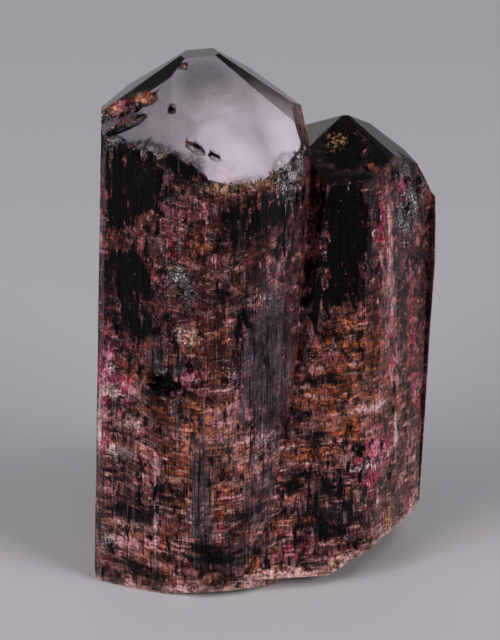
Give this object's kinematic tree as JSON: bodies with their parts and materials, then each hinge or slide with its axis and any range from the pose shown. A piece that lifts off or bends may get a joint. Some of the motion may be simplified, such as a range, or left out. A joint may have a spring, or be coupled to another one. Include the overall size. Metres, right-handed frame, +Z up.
{
  "type": "tourmaline crystal specimen",
  "caption": "Rough tourmaline: a tall striated prism with a pitched glassy end and a smaller crystal grown into its side, standing on a broken base.",
  "frame": {"origin": "centre of the outline's box, on the surface that the broken base rests on", "axes": "+Z up along the large crystal, -Y towards the front with the big sloping end face, +X towards the small crystal"},
  "size_m": [0.0432, 0.0288, 0.0683],
  "materials": {
    "tourmaline": "glassy dark crimson to black crystal, striated walls, etched and iron-stained patches"
  },
  "bodies": {
    "root": {"tourmaline_crystals": "tourmaline"}
  },
  "joints": []
}
